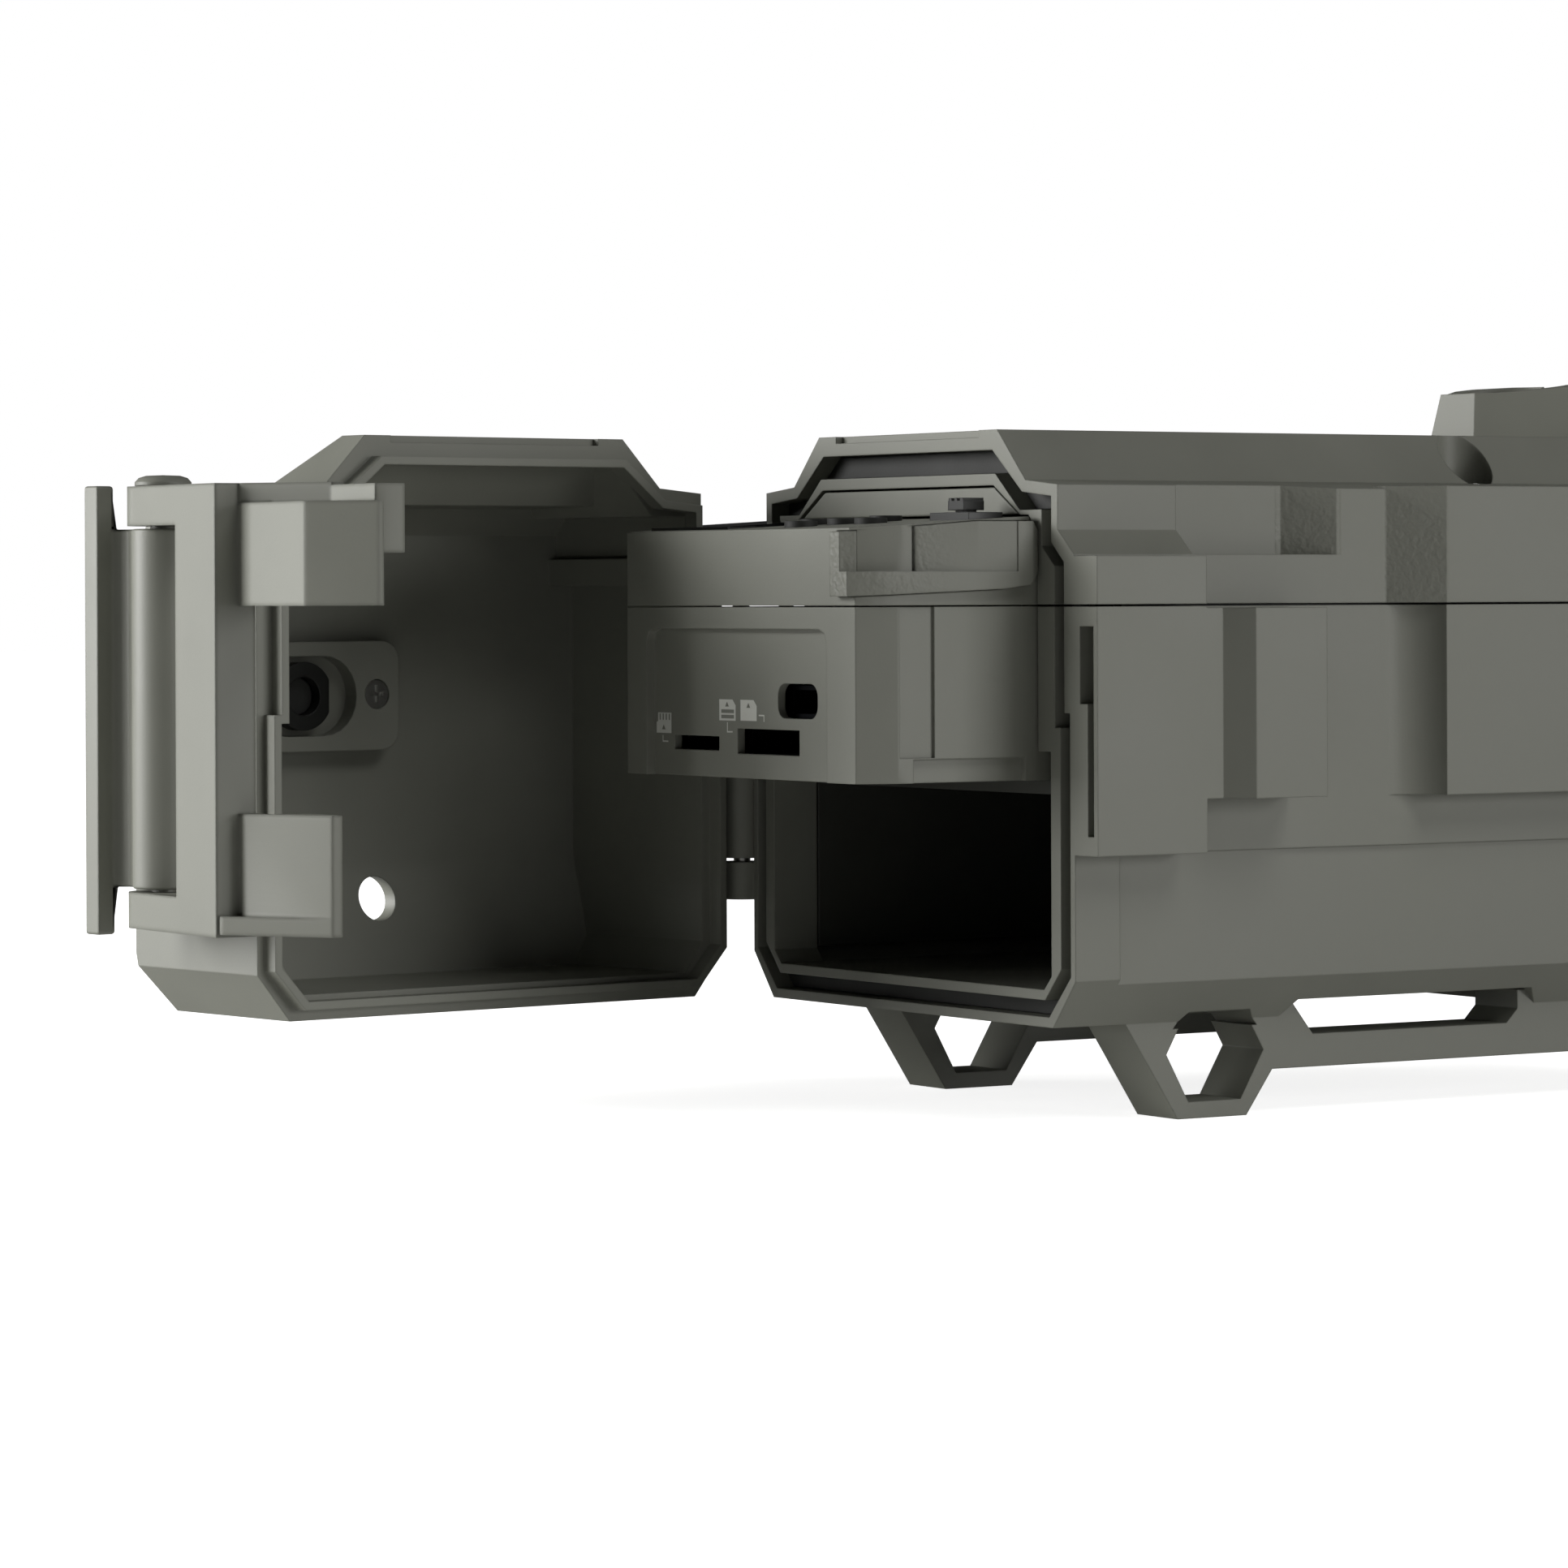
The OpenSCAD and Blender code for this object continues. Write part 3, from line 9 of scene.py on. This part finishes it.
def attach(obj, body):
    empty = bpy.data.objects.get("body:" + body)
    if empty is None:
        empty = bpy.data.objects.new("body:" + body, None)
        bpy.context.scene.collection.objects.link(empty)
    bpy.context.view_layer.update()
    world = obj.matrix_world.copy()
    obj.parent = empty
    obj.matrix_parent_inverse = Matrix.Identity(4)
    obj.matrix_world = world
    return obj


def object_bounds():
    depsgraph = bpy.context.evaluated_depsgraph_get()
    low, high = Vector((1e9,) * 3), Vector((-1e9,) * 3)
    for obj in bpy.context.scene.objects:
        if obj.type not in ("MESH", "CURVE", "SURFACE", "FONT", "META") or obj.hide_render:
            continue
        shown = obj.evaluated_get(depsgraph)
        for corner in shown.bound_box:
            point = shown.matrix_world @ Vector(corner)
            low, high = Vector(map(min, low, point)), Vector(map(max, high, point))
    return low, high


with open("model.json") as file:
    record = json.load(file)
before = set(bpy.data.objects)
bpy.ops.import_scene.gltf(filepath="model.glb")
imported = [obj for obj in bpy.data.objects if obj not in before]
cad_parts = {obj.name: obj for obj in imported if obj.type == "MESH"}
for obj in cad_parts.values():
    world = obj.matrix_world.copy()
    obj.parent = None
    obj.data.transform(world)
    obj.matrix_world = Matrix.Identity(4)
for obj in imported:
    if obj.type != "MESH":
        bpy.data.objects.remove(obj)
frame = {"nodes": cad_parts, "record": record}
cad_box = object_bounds()
nodes = frame["nodes"]

MM = 0.001
# Place of the rim's centre at the parting line, in the part's frame
RIM = Vector((-90, 0, 57.5)) * MM
HALF_WIDTH = 41.5 * MM
# Recessed end face of the core module, where the card marks are printed
CARD_FACE_X = -116.6 * MM


def linear(code):
    """sRGB hex colour to linear RGBA."""
    values = [int(code[i:i + 2], 16) / 255 for i in (1, 3, 5)]
    return tuple(v / 12.92 if v <= 0.04045 else ((v + 0.055) / 1.055) ** 2.4 for v in values) + (1.0,)


def add(tree, kind, settings=None, **links):
    """Adds a node, sets its properties or numbered and named inputs, and links other sockets to it."""
    made = tree.nodes.new(kind)
    for key, value in (settings or {}).items():
        if isinstance(key, int) or key in made.inputs:
            made.inputs[key].default_value = value
        else:
            setattr(made, key, value)
    for key, socket in links.items():
        name = key.replace("_", " ")
        tree.links.new(socket, made.inputs[int(key[1:]) if key[1:].isdigit() else name])
    return made


def new_material(name, hex_colour, roughness, **fixed):
    """A material with one Principled shader and its fixed values."""
    mat = bpy.data.materials.new(name)
    mat.use_nodes = True
    tree = mat.node_tree
    shader = tree.nodes["Principled BSDF"]
    shader.inputs["Base Color"].default_value = linear(hex_colour)
    shader.inputs["Roughness"].default_value = roughness
    for key, value in fixed.items():
        shader.inputs[key.replace("_", " ")].default_value = value
    return mat, tree, shader


def inside(tree, place, low, high, soft):
    """1 inside a box given in metres in the part's frame, falling to 0 over soft metres outside it."""
    centre = [(a + b) / 2 for a, b in zip(low, high)]
    half = [(b - a) / 2 for a, b in zip(low, high)]
    away = add(tree, "ShaderNodeVectorMath", {"operation": "SUBTRACT", 1: centre}, i0=place)
    away = add(tree, "ShaderNodeVectorMath", {"operation": "ABSOLUTE"}, i0=away.outputs[0])
    away = add(tree, "ShaderNodeVectorMath", {"operation": "SUBTRACT", 1: half}, i0=away.outputs[0])
    parts = add(tree, "ShaderNodeSeparateXYZ", {}, i0=away.outputs[0])
    most = add(tree, "ShaderNodeMath", {"operation": "MAXIMUM"}, i0=parts.outputs[0], i1=parts.outputs[1])
    most = add(tree, "ShaderNodeMath", {"operation": "MAXIMUM"}, i0=most.outputs[0], i1=parts.outputs[2])
    return add(tree, "ShaderNodeMapRange", {"From Min": 0.0, "From Max": soft, "To Min": 1.0, "To Max": 0.0},
               i0=most.outputs[0]).outputs[0]


def moulded(name, hex_colour, roughness, grain_mm, depth_mm, zones=(), edge_mm=0.3):
    """Moulded plastic: a fine matt grain, faint flow clouds, round edges and spark-eroded zones."""
    mat, tree, shader = new_material(name, hex_colour, roughness)
    place = add(tree, "ShaderNodeTexCoord").outputs["Object"]
    grain = add(tree, "ShaderNodeTexNoise", {"Scale": 1 / (grain_mm * MM), "Detail": 2.0}, Vector=place)
    edge = add(tree, "ShaderNodeBevel", {"samples": 4, "Radius": edge_mm * MM})
    bump = add(tree, "ShaderNodeBump", {"Strength": 0.6, "Distance": depth_mm * MM},
               Height=grain.outputs[0], Normal=edge.outputs[0])
    if zones:
        spark = add(tree, "ShaderNodeTexNoise", {"Scale": 1 / (0.8 * MM), "Detail": 1.0}, Vector=place)
        marks = None
        for low, high, fade in zones:
            mark = inside(tree, place, low, high, fade)
            marks = mark if marks is None else add(
                tree, "ShaderNodeMath", {"operation": "MAXIMUM"}, i0=marks, i1=mark).outputs[0]
        rise = add(tree, "ShaderNodeMath", {"operation": "MULTIPLY"}, i0=spark.outputs[0], i1=marks)
        bump = add(tree, "ShaderNodeBump", {"Strength": 0.7, "Distance": 0.18 * MM},
                   Height=rise.outputs[0], Normal=bump.outputs[0])
    clouds = add(tree, "ShaderNodeTexNoise", {"Scale": 1 / (22 * MM), "Detail": 3.0}, Vector=place)
    tint = add(tree, "ShaderNodeMapRange", {"From Min": 0.3, "From Max": 0.7, "To Min": 0.95, "To Max": 1.05},
               i0=clouds.outputs[0])
    base = add(tree, "ShaderNodeVectorMath", {"operation": "SCALE", 0: linear(hex_colour)[:3]},
               Scale=tint.outputs[0])
    rough = add(tree, "ShaderNodeMapRange", {"From Min": 0.3, "From Max": 0.7, "To Min": roughness - 0.05,
                "To Max": roughness + 0.05}, i0=clouds.outputs[0])
    tree.links.new(base.outputs[0], shader.inputs["Base Color"])
    tree.links.new(rough.outputs[0], shader.inputs["Roughness"])
    tree.links.new(bump.outputs[0], shader.inputs["Normal"])
    return mat


def brushed(name, hex_colour, roughness, line_mm):
    """Metal with fine lines left by the tool along one direction."""
    mat, tree, shader = new_material(name, hex_colour, roughness, Metallic=1.0)
    place = add(tree, "ShaderNodeTexCoord").outputs["Object"]
    spread = add(tree, "ShaderNodeVectorMath", {"operation": "MULTIPLY", 1: (0.1, 1.0, 1.0)}, i0=place)
    lines = add(tree, "ShaderNodeTexNoise", {"Scale": 1 / (line_mm * MM), "Detail": 3.0},
                Vector=spread.outputs[0])
    bump = add(tree, "ShaderNodeBump", {"Strength": 0.4, "Distance": 0.01 * MM}, Height=lines.outputs[0])
    rough = add(tree, "ShaderNodeMapRange", {"To Min": roughness - 0.06, "To Max": roughness + 0.1},
                i0=lines.outputs[0])
    tree.links.new(rough.outputs[0], shader.inputs["Roughness"])
    tree.links.new(bump.outputs[0], shader.inputs["Normal"])
    return mat


SHELL_HEX = "#77786f"
# Spark-eroded zones, each with its low corner, high corner and fade: the ramps of the side, then the grip
ramp_zones = [((-52.5 * MM, -42 * MM, 64.6 * MM), (-45 * MM, -36 * MM, 74.2 * MM), 0.3 * MM),
              ((-36.8 * MM, -47 * MM, 57.6 * MM), (-30 * MM, -41 * MM, 74.2 * MM), 0.3 * MM)]
grip_zone = [((-120 * MM, -36 * MM, 56 * MM), (-108 * MM, -20 * MM, 72 * MM), 6 * MM)]

finishes = {
    # Glass-filled nylon, moulded in a lightly blasted tool: even and matt, with a soft sheen
    "shell_plastic": moulded("glass_filled_nylon_moulded", SHELL_HEX, 0.5, 0.35, 0.02, ramp_zones),
    # The same nylon with a coarser, spark-eroded zone that fades out along the grip
    "grip": moulded("glass_filled_nylon_spark_eroded", SHELL_HEX, 0.5, 0.35, 0.02, grip_zone),
    # The bail's edges are rounder than the shells'
    "bail": moulded("glass_filled_nylon_round_edged", SHELL_HEX, 0.5, 0.35, 0.02, (), 0.9),
    # The same nylon in a darker masterbatch
    "dark_plastic": moulded("nylon_dark_moulded", "#3c3d38", 0.55, 0.35, 0.02),
    # EPDM rubber, moulded: black and dull
    "black_rubber": moulded("epdm_rubber_moulded", "#1b1c19", 0.65, 0.5, 0.03),
    # ABS, moulded and black, a little glossier than the rubber
    "black_plastic": moulded("abs_black_moulded", "#181917", 0.35, 0.3, 0.01),
    # Epoxy glass board under green solder mask
    "board": moulded("fr4_board_solder_masked", "#1c4a2c", 0.35, 0.6, 0.01),
    "steel": brushed("zinc_plated_steel", "#b9b9b5", 0.32, 0.15),
    # Socket shells: steel painted near black, a painted shade that stands in for the dark inside of their
    # slots
    "socket_shade_steel": brushed("socket_steel_painted_shade", "#17181a", 0.5, 0.15),
    "brass": brushed("turned_brass", "#c9a45c", 0.3, 0.12),
}
# Infrared-pass polycarbonate, polished: almost black, with a clear gloss
finishes["dark_window"] = new_material("polycarbonate_infrared_pass", "#08090b", 0.08, Coat_Weight=0.6)[0]
# Coated optical glass
finishes["lens_glass"] = new_material("coated_optical_glass", "#0d1016", 0.03, Coat_Weight=1.0)[0]


def fresnel_lens():
    """Milky polyethylene pressed with the fine rings of a Fresnel lens, one set in each facet."""
    mat, tree, shader = new_material("polyethylene_fresnel_pressed", "#d9dad3", 0.45, Subsurface_Weight=0.2)
    place = add(tree, "ShaderNodeTexCoord").outputs["Object"]
    facets = add(tree, "ShaderNodeTexVoronoi", {"feature": "F1", "Scale": 1 / (6 * MM), "Randomness": 0.0},
                 Vector=place)
    rings = add(tree, "ShaderNodeMath", {"operation": "MULTIPLY", 1: 60.0}, i0=facets.outputs["Distance"])
    waves = add(tree, "ShaderNodeMath", {"operation": "SINE"}, i0=rings.outputs[0])
    bump = add(tree, "ShaderNodeBump", {"Strength": 0.35, "Distance": 0.05 * MM}, Height=waves.outputs[0])
    tree.links.new(bump.outputs[0], shader.inputs["Normal"])
    return mat


finishes["motion_lens"] = fresnel_lens()
# Light grey pad-printing ink, flat and a little raised
finishes["ink"] = new_material("pad_print_ink", "#c9cac2", 0.6)[0]


# Edges flatter than the first angle shade smooth, and those steeper than the second can be rounded
SMOOTH_BELOW = math.radians(32)
ROUND_ABOVE = math.radians(28)


def smooth_group():
    """Modifier that shades smooth across shallow edges and keeps the rest sharp."""
    group = bpy.data.node_groups.new("shade_shallow_edges", "GeometryNodeTree")
    group.interface.new_socket("Geometry", in_out="INPUT", socket_type="NodeSocketGeometry")
    group.interface.new_socket("Geometry", in_out="OUTPUT", socket_type="NodeSocketGeometry")
    start = add(group, "NodeGroupInput")
    angle = add(group, "GeometryNodeInputMeshEdgeAngle")
    shallow = add(group, "FunctionNodeCompare",
                  {"data_type": "FLOAT", "operation": "LESS_THAN", "B": SMOOTH_BELOW}, i0=angle.outputs[0])
    faces = add(group, "GeometryNodeSetShadeSmooth", {"domain": "FACE"}, i0=start.outputs[0])
    edges = add(group, "GeometryNodeSetShadeSmooth", {"domain": "EDGE"}, i0=faces.outputs[0])
    group.links.new(shallow.outputs[0], edges.inputs["Shade Smooth"])
    end = add(group, "NodeGroupOutput")
    group.links.new(edges.outputs[0], end.inputs[0])
    return group


shade = smooth_group()


def soften(obj, radius_mm):
    """Shades a CAD node smooth over its curves, and rounds its edges where a radius is given."""
    weld = obj.modifiers.new("weld", "WELD")
    weld.merge_threshold = 0.0005 * MM
    if radius_mm:
        edge = obj.modifiers.new("edge_radius", "BEVEL")
        edge.width = radius_mm * MM
        edge.segments = 3
        edge.limit_method = "ANGLE"
        edge.angle_limit = ROUND_ABOVE
        edge.miter_outer = "MITER_ARC"
        edge.use_clamp_overlap = False
    smooth = obj.modifiers.new("shading", "NODES")
    smooth.node_group = shade
    even = obj.modifiers.new("flat_faces_lead", "WEIGHTED_NORMAL")
    even.keep_sharp = True


# Edge radius in millimetres of the nodes whose mesh is rounded; the finishes round the rest in shading
radius = {"latch_lever": 0.4, "bulkhead_panel": 0.25}
# Nodes whose finish differs from the record's slot; the sockets take a steel painted near black as painted
# shade
own_finish = {"core_grip": "grip", "latch_bail": "bail", "usb_socket": "socket_shade_steel", "sd_socket": "socket_shade_steel",
              "sim_socket": "socket_shade_steel"}
slots = {s["node"]: s["material_slot"] for s in frame["record"]["subparts"]}
for name, obj in nodes.items():
    finish = own_finish.get(name, slots[name])
    obj.data.materials.clear()
    obj.data.materials.append(finishes[finish])
    soften(obj, radius.get(name))


def stroke(points, width):
    """Flat quads along a line of points in millimetres."""
    quads = []
    for (ya, za), (yb, zb) in zip(points, points[1:]):
        length = math.hypot(yb - ya, zb - za)
        dy, dz = (yb - ya) / length * width / 2, (zb - za) / length * width / 2
        ya, za, yb, zb = ya - dy, za - dz, yb + dy, zb + dz
        quads.append([(ya - dz, za + dy), (yb - dz, zb + dy), (yb + dz, zb - dy), (ya + dz, za - dy)])
    return quads


def print_layer(name, shapes, finish, lift_mm):
    """Flat shapes, in millimetres, printed on the end of the core module."""
    verts, faces = [], []
    for index, shape in enumerate(shapes):
        faces.append(tuple(range(len(verts), len(verts) + len(shape))))
        # Each shape lies a touch above the one before, so no two share a plane
        verts += [(CARD_FACE_X - (lift_mm + index * 0.001) * MM, y * MM, z * MM) for y, z in shape]
    mesh = bpy.data.meshes.new(name)
    mesh.from_pydata(verts, [], faces)
    mesh.materials.append(finishes[finish])
    marks = bpy.data.objects.new(name, mesh)
    bpy.context.scene.collection.objects.link(marks)
    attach(marks, "housing")


def card_marks():
    """Pad-printed silhouettes of a memory card and two SIM cards beside their slots, with leader ticks."""
    memory = [(20.4, 42.4), (20.4, 39.5), (24.5, 39.5), (24.5, 41.0), (24.1, 41.2), (24.1, 42.4)]
    sim = [(3.7, 44.5), (7.25, 44.5), (7.25, 41.55), (2.87, 41.55), (2.87, 43.7)]
    blank = [(-1.9, 44.5), (1.57, 44.5), (1.57, 41.6), (-2.73, 41.6), (-2.73, 43.7)]
    line, tooth, cell = 0.2, 0.3, 0.5
    ticks = stroke([(22.73, 39.1), (22.73, 38.33), (21.37, 38.33)], line)
    ticks += stroke([(5.07, 41.22), (5.08, 39.98), (3.77, 40.0)], line)
    ticks += stroke([(-3.38, 42.4), (-4.66, 42.4), (-4.66, 41.62)], line)
    print_layer("card_marks", [memory, sim, blank] + ticks, "ink", 0.02)
    gaps = []
    # Contacts of the memory card
    for step in range(4):
        y = 20.9 + 0.85 * step
        gaps += stroke([(y, 42.1), (y, 41.5)], tooth)
    # Contacts of the SIM card, three across and two up
    for column in range(3):
        for row in range(2):
            y, z = 3.5 + 1.05 * column, 42.1 + 0.75 * row
            gaps += stroke([(y, z), (y + 0.8, z)], cell)
    # Arrowheads
    for y, z in ((22.45, 40.0), (5.1, 43.5), (-0.6, 43.4)):
        gaps.append([(y - 0.5, z), (y + 0.5, z), (y, z + 0.7)])
    print_layer("card_mark_gaps", gaps, "shell_plastic", 0.06)


def stage():
    """Pale floor under the feet."""
    floor_z = cad_box[0][2]
    mesh = bpy.data.meshes.new("studio_floor")
    reach = 6.0
    mesh.from_pydata([(-reach, -reach, floor_z), (reach, -reach, floor_z), (reach, reach, floor_z),
                      (-reach, reach, floor_z)], [], [(0, 1, 2, 3)])
    floor = bpy.data.objects.new("studio_floor", mesh)
    bpy.context.scene.collection.objects.link(floor)
    mat, tree, shader = new_material("paper_sweep", "#f4f4f2", 0.9)
    # To the camera the paper is near white by itself, and white far off, so the shadow by the object stays
    path = add(tree, "ShaderNodeLightPath")
    place = add(tree, "ShaderNodeTexCoord").outputs["Object"]
    away = add(tree, "ShaderNodeVectorMath", {"operation": "LENGTH"}, i0=place)
    level = add(tree, "ShaderNodeMapRange", {"From Min": 0.15, "From Max": 0.8, "To Min": 0.85, "To Max": 1.0},
                i0=away.outputs["Value"])
    share = add(tree, "ShaderNodeMath", {"operation": "MULTIPLY"}, i0=path.outputs["Is Camera Ray"],
                i1=level.outputs[0])
    glow = add(tree, "ShaderNodeEmission", {"Color": (1, 1, 1, 1)}, Strength=share.outputs[0])
    both = add(tree, "ShaderNodeAddShader", {}, i0=shader.outputs[0], i1=glow.outputs[0])
    tree.links.new(both.outputs[0], tree.nodes["Material Output"].inputs[0])
    mesh.materials.append(mat)


def surround():
    """White room to the camera, which lights the object only faintly."""
    world = bpy.data.worlds.new("white_room")
    bpy.context.scene.world = world
    world.use_nodes = True
    tree = world.node_tree
    path = add(tree, "ShaderNodeLightPath")
    dim = tree.nodes["Background"]
    dim.inputs["Color"].default_value = (1, 1, 1, 1)
    dim.inputs["Strength"].default_value = 0.02
    white = add(tree, "ShaderNodeBackground", {"Color": (1, 1, 1, 1), "Strength": 1.0})
    mix = add(tree, "ShaderNodeMixShader", {}, i0=path.outputs["Is Camera Ray"], i1=dim.outputs[0],
              i2=white.outputs[0])
    tree.links.new(mix.outputs[0], tree.nodes["World Output"].inputs[0])


def lamp(name, place, target, width, height, power):
    """Soft box at a place, turned to a target."""
    light = bpy.data.lights.new(name, "AREA")
    light.shape = "RECTANGLE"
    light.size = width
    light.size_y = height
    light.energy = power
    obj = bpy.data.objects.new(name, light)
    obj.location = place
    obj.rotation_euler = (Vector(target) - Vector(place)).to_track_quat("-Z", "Y").to_euler()
    bpy.context.scene.collection.objects.link(obj)


def camera():
    """Long lens, level with the parting line, from the hatch end of the latch side."""
    heading = math.radians(31.85)
    tilt = math.radians(-0.228)
    data = bpy.data.cameras.new("camera")
    data.lens = 130.44
    data.sensor_width = 36
    data.shift_y = -0.1229
    data.clip_end = 50
    obj = bpy.data.objects.new("camera", data)
    obj.location = RIM + Vector((-438.6, -631.7, 2.07)) * MM - Vector((0, HALF_WIDTH, 0))
    obj.rotation_mode = "QUATERNION"
    turn = Vector((math.sin(heading), math.cos(heading), 0)).to_track_quat("-Z", "Y")
    obj.rotation_quaternion = turn @ Quaternion((0, 0, 1), tilt)
    bpy.context.scene.collection.objects.link(obj)
    bpy.context.scene.camera = obj


card_marks()
stage()
surround()
aim = (-0.1, 0, 0.04)
# The strong box stands beyond the open hatch, whose shade keeps the core module's end dim
lamp("hatch_side_box", (-1.2, 0.7, 0.3), aim, 0.8, 0.8, 27)
lamp("front_strip", (0.7, -1.6, 0.25), aim, 0.8, 0.5, 8)
lamp("high_box", (0.3, -1.0, 1.3), aim, 0.8, 0.8, 8)
camera()
bpy.context.scene.view_settings.view_transform = "Standard"
